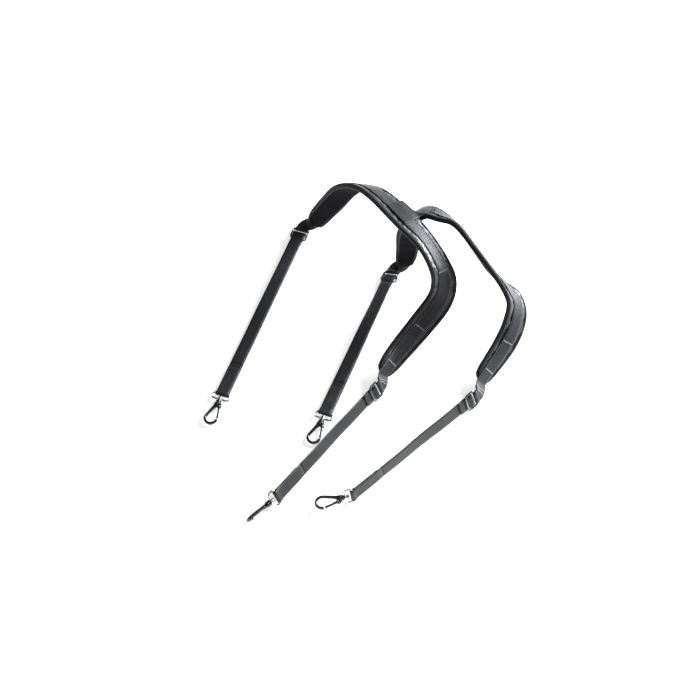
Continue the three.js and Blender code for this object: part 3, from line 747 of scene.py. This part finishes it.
def pad_binding(side, route, thread):
    """Tape folded round the pad's edge and sewn through, with a row of stitches on each face."""
    outer = [(-4.2, 3.0), (-2.4, 3.15), (-0.6, 2.95), (0.45, 2.1), (0.9, 0.6), (0.9, -1.6), (0.45, -3.3),
             (-0.6, -4.3), (-2.4, -4.6), (-4.2, -4.5)]
    inner = [(-4.2, -3.8), (-0.9, -3.6), (0.1, -2.2), (0.1, 0.8), (-0.9, 2.2), (-4.2, 2.3)]
    section = outer + inner
    stitch_inset, stitch_levels = 2.7, (("top", 3.2), ("under", -4.65))
    path, normals = outline(route)
    rings, uvs = [], []
    s_run = 0.0
    lines = {"top": ([], []), "under": ([], [])}
    for i, ((s, x), (ns, nx)) in enumerate(zip(path, normals)):
        place = route.place(s)
        lateral = place.direction((nx, ns, 0))
        rings.append([place.at(x, 0, z) + lateral * d for d, z in section])
        uvs += [(d + 0.7 * z, s_run) for d, z in section]
        s_run += np.linalg.norm(path[(i + 1) % len(path)] - path[i])
        for row, level in stitch_levels:
            lines[row][0].append(place.at(x, 0, level) - lateral * stitch_inset)
            lines[row][1].append(place.direction((0, 0, 1 if level > 0 else -1)))
    verts, faces = loft(rings, closed=True)
    make_piece(f"{side}_pad_edge_binding", "harness", verts, faces, MATERIALS["binding"], uvs,
               "edge_binding", (f"{side}_pad_binding",))
    for points, outs in lines.values():
        thread.row(points + points[:1], outs + outs[:1])


def tab_and_eye(pad_end, leg):
    """Webbing from a pad's end to the adjuster's top bar, round it, and back under itself."""
    eye = leg.start.at(0, TOP_BAR_Y - EYE_MIDDLE - EYE_LEAD, PLATE_LEVEL)
    leg_along, leg_out = leg.start.direction((0, 1, 0)), leg.start.direction((0, 0, 1))
    begin = pad_end.at(0, 0, WEB_LEVEL)
    travel = np.linalg.norm(eye - begin)
    leave, arrive = pad_end.direction((0, 1, 0)) * travel, leg_along * travel

    def run(s, offset):
        s2, s3 = s * s, s ** 3
        point = (2 * s3 - 3 * s2 + 1) * begin + (s3 - 2 * s2 + s) * leave
        point = point + (3 * s2 - 2 * s3) * eye + (s3 - s2) * arrive
        slope = (6 * s2 - 6 * s) * (begin - eye)
        slope = slope + (3 * s2 - 4 * s + 1) * leave + (3 * s2 - 2 * s) * arrive
        out = pad_end.direction((0, 0, 1)) * (1 - s) + leg_out * s
        place = Place.facing(point, unit(slope), out)
        return place.at(0, 0, offset), place.direction((0, 0, 1)), place.direction((1, 0, 0))

    ribbon = Ribbon()
    for i in range(1, TAB_STEPS + 1):
        s = i / TAB_STEPS
        ribbon.add(*run(s, PLY * smooth(s / 0.5)))
    bar = (TOP_BAR_Y, PLATE_LEVEL)
    round_bar = [(y, z) for y, z in arc(bar, EYE_MIDDLE, 105, -105, 15)]
    ribbon.extend(yz_ribbon(leg.start, round_bar))
    for i in range(TAB_STEPS, int(TAB_STEPS * 0.3), -1):
        point, out, across = run(i / TAB_STEPS, -PLY)
        ribbon.add(point, -out, across)
    return ribbon, run


def shoulder_webbing(side, route, rear, front, tacks):
    """One length of webbing: rear eye, tab, the whole pad, tab and front eye."""
    rear_end, front_end = route.place(0), route.place(route.length)
    back = Place(rear_end.origin, rear_end.basis * np.array((-1, -1, 1)))
    rear_ribbon, rear_run = tab_and_eye(back, rear)
    front_ribbon, front_run = tab_and_eye(front_end, front)
    ribbon = rear_ribbon.reversed()
    lines = {STITCH_X: ([], []), -STITCH_X: ([], [])}
    for s in np.linspace(0, route.length, int(route.length / 3)):
        place = route.place(s)
        ribbon.add(place.at(0, 0, WEB_LEVEL), place.direction((0, 0, 1)), place.direction((1, 0, 0)))
        for x, (points, outs) in lines.items():
            points.append(place.at(x, 0, WEB_LEVEL + WEB_HALF + 0.05))
            outs.append(place.direction((0, 0, 1)))
    ribbon.extend(front_ribbon)
    webbing(f"{side}_webbing_over_pad", "harness", ribbon, (f"{side}_shoulder_webbing",))
    for points, outs in lines.values():
        tacks.row(points, outs)
    for share in TACKS[side]:
        tacks.tack(route.place(share * route.length), WEB_LEVEL + WEB_HALF + 0.1)
    for run in (rear_run, front_run):
        for s in TAB_TACKS:
            point, out, across = run(s, 2 * PLY + 0.1)
            tacks.tack(Place(point, np.column_stack((across, np.cross(out, across), out))), 0, 8.2, 1.0)


# ---------------------------------------------------------------- junction
def junction(name, routes, level, flip, replaces, thread):
    """A leather piece sewn over both pads where they meet, with its hide following their faces."""
    left, right = routes
    steps = 16
    columns = [(left, 9.5), (left, 5), (left, 0), (left, -6), (left, -11), (left, -16), (left, -20.5),
               (right, 20.5), (right, 16), (right, 11), (right, 6), (right, 0), (right, -5), (right, -9.5)]
    grid = []
    for i in range(steps + 1):
        share = i / steps
        row = []
        for route, x in columns:
            first, last = JUNCTION["left" if route is left else "right"]
            place = route.place((first + (last - first) * share) * route.length)
            settle = 1.1 * smooth((abs(x) - 10) / 8)
            row.append((place.at(x, 0, level - flip * settle), place.direction((0, 0, flip))))
        grid.append(row)
    width = len(columns)
    verts = [point for row in grid for point, _ in row]
    faces = []
    for i in range(steps):
        for j in range(width - 1):
            a = i * width + j
            face = (a, a + 1, a + width + 1, a + width)
            faces.append(face if flip > 0 else face[::-1])
    piece = make_piece(name, "harness", verts, faces, MATERIALS["leather"], None, "leather", replaces)
    hide = piece.modifiers.new("Hide", "SOLIDIFY")
    hide.thickness = LEATHER_THICK * MM
    hide.offset = 0
    edge = piece.modifiers.new("Eased edge", "BEVEL")
    edge.width = 0.4 * MM
    edge.segments = 2
    piece.modifiers.new("Smooth surface", "SUBSURF").render_levels = 1
    rise = 0.75  # stitches lie this far above the hide's middle
    for i in (1, steps - 1):
        thread.row([p + o * rise for p, o in grid[i]], [o for _, o in grid[i]])
    for j in (0, width - 1):
        inner = 1 if j == 0 else width - 2
        pairs = [
            (row[j][0] * 0.6 + row[inner][0] * 0.4 + row[j][1] * rise, row[j][1]) for row in grid[1:-1]
        ]
        thread.row([p for p, _ in pairs], [o for _, o in pairs])


# ---------------------------------------------------------------- legs
def adjuster(side, leg):
    """A slide: a rounded frame with a middle bar, and its lower end raised over the tail."""
    path = rounded_rectangle(-12.6, 12.6, TOP_BAR_Y, LIP_Y, 4.0)
    lift = [smooth((y - 5) / 4) for _, y in path]
    levels = [PLATE_LEVEL + 1.2 * h for h in lift]
    thick = [1.5 - 0.5 * h for h in lift]
    frame_ring = flat_sweep(path, 1.5, thick, closed=True, sides=16, power=2.6, levels=levels)
    profile = [(0.9, -12.6), (BAR_RADIUS, -12.0), (BAR_RADIUS, 12.0), (0.9, 12.6)]
    points, faces = lathe_y(profile, sides=20)
    bar = (np.column_stack((points[:, 1], -points[:, 0], points[:, 2] + PLATE_LEVEL)), faces)
    verts, faces = merged(frame_ring, bar)
    make_piece(f"{side}_slide_adjuster", f"{side}_adjuster", verts, faces, MATERIALS["adjuster"], None,
               "adjuster_metal", (f"{side}_adjuster",), leg.start)


def leg_webbings(side, leg):
    """The turn round the middle bar, the tail and the long strand."""
    landing = (TAIL_START, TAIL_LEVEL)
    turn_path = [(TURN_END, 0), (9, 0), (4, 0)]
    turn_path += arc((0, PLATE_LEVEL), EYE_MIDDLE, -90, -300, 17)
    turn_path += [(3.6, 3.5), (5.6, 2.3), landing]
    webbing(f"{side}_webbing_round_bar", f"{side}_adjuster", yz_ribbon(leg.start, turn_path),
            (f"{side}_webbing_turn",))

    end_y = TAIL_START + leg.tail
    tail_path = [(y, TAIL_LEVEL) for y in np.linspace(TAIL_START, end_y, 9)]
    tail = webbing(f"{side}_loose_tail", None, yz_ribbon(leg.start, tail_path))
    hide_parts(f"{side}_webbing_tail")
    tuple(leg.start.at(0, TAIL_START + 0.5, TAIL_LEVEL) * MM)
    tuple(leg.start.at(0, TAIL_START + 0.6 * leg.tail, TAIL_LEVEL) * MM)
    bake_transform(tail)

    strand = Ribbon()
    start_out, end_out = (p.direction((0, 0, 1)) for p in (leg.start, leg.end))
    last = leg.length - SEWN_LENGTH
    along = leg.start.direction((0, 1, 0))
    for y in np.linspace(TURN_END, last, int(last / 4)):
        share = (y - TURN_END) / (last - TURN_END)
        out = start_out * (1 - smooth(share)) + end_out * smooth(share)
        place = Place.facing(leg.start.at(0, y, 0), along, out)
        sway = 0.7 * math.sin(math.pi * share) * math.sin(9 * share)
        strand.add(place.at(0, 0, sway), place.direction((0, 0, 1)), place.direction((1, 0, 0)))
    piece = webbing(f"{side}_leg_strand", None, strand)
    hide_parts(f"{side}_leg_webbing")
    tuple(leg.start.at(0, TURN_END + 2, 0) * MM)
    tuple(leg.start.at(0, last - 2, 0) * MM)
    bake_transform(piece)


def sewn_end(side, leg):
    """The strand's end folded round the loop's bar and sewn to itself in a crossed box."""
    path = [(-SEWN_LENGTH, 0), (-53, 0.2), (-50, 0.6), (-47, PLY)]
    path += [(y, PLY) for y in np.linspace(-42, -7, 8)]
    path += arc((0, 0), LOOP_EYE_MIDDLE, 110, -110, 17)
    path += [(y, -PLY) for y in np.linspace(-7, -SEWN_LENGTH + 7, 10)]
    webbing(f"{side}_folded_end", f"{side}_leg_end", yz_ribbon(leg.end, path), (f"{side}_sewn_end",))
    thread = Thread()
    near, far, half = -8.0, -SEWN_LENGTH + 10, 7.6
    corners = [(-half, near), (half, near), (half, far), (-half, far)]
    lines = [(corners[i], corners[(i + 1) % 4]) for i in range(4)]
    lines += [(corners[0], corners[2]), (corners[1], corners[3])]
    for face in (1, -1):
        level = face * (2 * PLY + 0.02)
        out = leg.end.direction((0, 0, face))
        for (x0, y0), (x1, y1) in lines:
            ends = [leg.end.at(x0, y0, level), leg.end.at(x1, y1, level)]
            thread.row(ends, [out, out])
    thread.piece(f"{side}_end_stitches", f"{side}_leg_end")


def hook_loop(side, leg):
    """The bright rectangular loop, with a swivel barrel on its far bar."""
    path = rounded_rectangle(-LOOP_HALF_WIDTH, LOOP_HALF_WIDTH, 0, LOOP_FAR_Y, 2.6)
    wire = flat_sweep(path, WIRE_RADIUS, WIRE_RADIUS, closed=True, power=2.0)
    y0, y1 = LOOP_FAR_Y - 2.2, LOOP_FAR_Y + 2.2
    barrel = lathe_y([(2.2, y0 - 0.1), (3.3, y0), (3.8, y0 + 0.5), (4.0, LOOP_FAR_Y), (3.8, y1 - 0.5),
                      (3.3, y1), (2.2, y1 + 0.1)])
    verts, faces = merged(wire, barrel)
    make_piece(f"{side}_rectangular_loop", f"{side}_loop", verts, faces, MATERIALS["nickel"], None, "nickel",
               (f"{side}_hook_loop",), leg.loop)


def hook_shape():
    """The cast hook: a collar, a shoulder with two cheeks for the gate, a spine, a round bow and a nose."""
    collar = lathe_y([(3.4, HOOK_START), (4.3, HOOK_START + 0.5), (4.4, 14.6), (3.7, 15.3), (3.7, 15.9),
                      (4.4, 16.6), (4.3, 18.5), (3.0, 20.5)])
    shoulder_path = [(0.3, 15.5), (0.5, 17), (0.9, 19), (1.6, 21), (2.4, 23.5), (3.4, 26.5)]
    shoulder = flat_sweep(shoulder_path, [3.4, 4.2, 4.3, 3.6, 2.7, 2.1], [2.4, 2.9, 3.1, 2.9, 2.6, 2.4])
    bow = arc((0, BOW_Y), BOW_MIDDLE, -14.6, 189, 44)  # the spine leans by 14.6 degrees where it meets it
    first = np.array((3.1, 24.5))
    straight = [tuple(first + (np.array(bow[0]) - first) * k / 8) for k in range(8)]
    path = straight + bow
    count = len(path)
    widths = [2.3 - 0.35 * smooth(i / 14) for i in range(count)]
    widths[-1], widths[-2] = 1.1, 1.7
    thicks = [2.5] * (count - 2) + [2.1, 1.4]
    spine = flat_sweep(path, widths, thicks, sides=20, power=2.6)
    parts = [collar, shoulder, spine]
    for z in (-1.95, 1.95):
        cheek_path = [(-1.0, 17.5), (-2.6, 19.0), (-4.0, 20.8), (-4.8, 22.4), (-5.1, 24.0)]
        points, faces = flat_sweep(cheek_path, [2.6, 3.2, 3.3, 2.9, 1.6], 0.65, power=3.0)
        parts.append((points + np.array((0, 0, z)), faces))
    return merged(*parts)


def cast(name, shape):
    """Melts overlapping closed shapes into one smooth casting."""
    verts, faces = shape
    mesh = bpy.data.meshes.new(name)
    mesh.from_pydata((verts * MM).tolist(), [], faces)
    rough = bpy.data.objects.new(name, mesh)
    bpy.context.collection.objects.link(rough)
    melt = rough.modifiers.new("Melt", "REMESH")
    melt.mode = "VOXEL"
    melt.voxel_size = 0.32 * MM
    ease = rough.modifiers.new("Ease", "SMOOTH")
    ease.iterations = 4
    ease.factor = 0.5
    depsgraph = bpy.context.evaluated_depsgraph_get()
    done = bpy.data.meshes.new_from_object(rough.evaluated_get(depsgraph))
    bpy.data.objects.remove(rough)
    done.shade_smooth()
    return done


def hook(side, leg, casting):
    body = f"{side}_hook"
    mesh = casting.copy()
    mesh.transform(leg.hook.matrix())
    mesh.materials.clear()
    mesh.materials.append(MATERIALS["gunmetal"])
    piece = bpy.data.objects.new(f"{side}_cast_hook", mesh)
    bpy.context.collection.objects.link(piece)
    finish_piece(piece, body, "dark_hook_metal", (f"{side}_hook_body",))

    head = LOOP_FAR_Y - 2.6
    pin = lathe_y([(1.2, head - 2.0), (2.4, head - 1.8), (3.1, head - 1.1), (3.1, head - 0.2), (2.8, head),
                   (1.8, head), (1.8, HOOK_START + 4.5)])
    make_piece(f"{side}_swivel_rivet", body, *pin, MATERIALS["steel"], None, "steel",
               (f"{side}_swivel_pin",), leg.hook)

    x, y = GATE_PIVOT
    rivet = lathe_y([(0.8, -2.95), (1.4, -2.8), (1.5, -2.6), (0.9, -2.6), (0.9, 2.6), (1.5, 2.6), (1.4, 2.8),
                     (0.8, 2.95)], sides=20)
    points = np.column_stack((rivet[0][:, 0] + x, -rivet[0][:, 2] + y, rivet[0][:, 1]))
    make_piece(f"{side}_gate_rivet", body, points, rivet[1], MATERIALS["steel"], None, "steel",
               (f"{side}_gate_pin",), leg.hook)

    along = unit(np.array(GATE_TIP) - np.array(GATE_PIVOT))
    reach = [-1.9, -1.2, 0, 1.4, 3, 5, 9, 13, 16, 18.4, 19.3, 19.8]
    widths = [1.0, 1.8, 2.1, 2.0, 1.75, 1.6, 1.5, 1.5, 1.6, 1.6, 1.25, 0.6]
    path = [np.array(GATE_PIVOT) + along * r for r in reach]
    lever = flat_sweep(path, widths, [0.7] + [1.1] * 9 + [1.0, 0.6], sides=16, power=2.8)
    make_piece(f"{side}_gate_lever", f"{side}_gate", *lever, MATERIALS["gunmetal"], None,
               "dark_hook_metal", (f"{side}_gate",), leg.hook)

    leaf_path = [(-2.3, 19.8), (-2.2, 22), (-2.25, 24.3), (-2.6, 25.7), (-3.2, 27.1), (-3.9, 28.8)]
    leaf = make_piece(f"{side}_leaf_spring", None, *flat_sweep(leaf_path, 0.13, 0.9, power=3.0),
                      MATERIALS["steel"], place=leg.hook)
    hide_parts(f"{side}_gate_spring")
    tuple(leg.hook.at(-2.2, 22, 0) * MM)
    tuple(leg.hook.at(-2.2, 27, 0) * MM)
    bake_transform(leaf)


# ---------------------------------------------------------------- camera, floor and light
def add_camera():
    """Looks along +Y, 55 degrees down, from 2.2 m: 1.015 m of width at the target fills the frame."""
    target = np.array((0.0, 0.0, 50.0)) - FOOTPRINT_MIDDLE
    distance, elevation, width = 2200.0, math.radians(55), 1015.0
    data = bpy.data.cameras.new("camera")
    data.sensor_width = 36
    data.lens = 36 * distance / width
    data.clip_end = 20
    camera = bpy.data.objects.new("camera", data)
    back = np.array((0, -math.cos(elevation), math.sin(elevation)))
    camera.location = Vector((target + back * distance) * MM)
    camera.rotation_euler = (math.pi / 2 - elevation, 0, 0)
    bpy.context.collection.objects.link(camera)
    bpy.context.scene.camera = camera


def add_floor():
    """A pale floor, 12 m wide, just under the harness, that glows a little so that it stays white."""
    size = 6.0  # metres, from the middle
    mesh = bpy.data.meshes.new("floor")
    corners = [(-size, -size, 0), (size, -size, 0), (size, size, 0), (-size, size, 0)]
    mesh.from_pydata(corners, [], [(0, 1, 2, 3)])
    n = Nodes("floor")
    n.shader.inputs["Emission Color"].default_value = (1, 1, 1, 1)
    n.shader.inputs["Emission Strength"].default_value = 0.6
    mesh.materials.append(n.done(n.ramp(n.noise(3, 2), (0.86,) * 3, (0.9,) * 3), 0.9, specular=0.1))
    floor = bpy.data.objects.new("floor", mesh)
    floor.location.z = -0.3 * MM
    bpy.context.collection.objects.link(floor)


def add_light(name, place, target, size, power, color):
    data = bpy.data.lights.new(name, "AREA")
    data.shape = "DISK"
    data.size = size
    data.energy = power
    light = bpy.data.objects.new(name, data)
    data.color = color
    light.location = place
    aim = Vector(target) - Vector(place)
    light.rotation_euler = aim.to_track_quat("-Z", "Y").to_euler()
    bpy.context.collection.objects.link(light)


def add_world():
    world = bpy.data.worlds.new("studio")
    world.use_nodes = True
    background = world.node_tree.nodes["Background"]
    background.inputs["Color"].default_value = (1, 1, 1, 1)
    background.inputs["Strength"].default_value = 0.16
    bpy.context.scene.world = world
    bpy.context.scene.view_settings.view_transform = "Standard"


# ---------------------------------------------------------------- the harness
add_camera()
add_floor()
add_world()
add_light("key", (1.4, 0.75, 0.85), (0.1, 0.1, 0.1), 1.0, 125, (0.93, 0.96, 1.0))
add_light("fill", (-0.2, -1.3, 1.7), (0, 0, 0.05), 1.4, 7, (1.0, 1.0, 1.0))

legs = {side: Leg(*values) for side, values in LEGS.items()}
routes = {"left": Route(LEFT_PAD), "right": Route(RIGHT_PAD)}
for side, route in routes.items():
    thread, tacks = Thread(), Thread()
    pad_shell(side, route)
    pad_lining(side, route)
    pad_binding(side, route, thread)
    shoulder_webbing(side, route, legs[f"rear_{side}"], legs[f"front_{side}"], tacks)
    thread.piece(f"{side}_pad_stitches", "harness")
    tacks.piece(f"{side}_bar_tacks", "harness", "tack_thread")

seams = Thread()
pair = (routes["left"], routes["right"])
junction("leather_join_top", pair, JUNCTION_TOP, 1, ("junction_top",), seams)
junction("leather_join_underside", pair, JUNCTION_UNDERSIDE, -1, ("junction_underside",), seams)
seams.piece("join_stitches", "harness")

casting = cast("hook_casting", hook_shape())
for side, leg in legs.items():
    adjuster(side, leg)
    leg_webbings(side, leg)
    sewn_end(side, leg)
    hook_loop(side, leg)
    hook(side, leg, casting)
bpy.data.meshes.remove(casting)
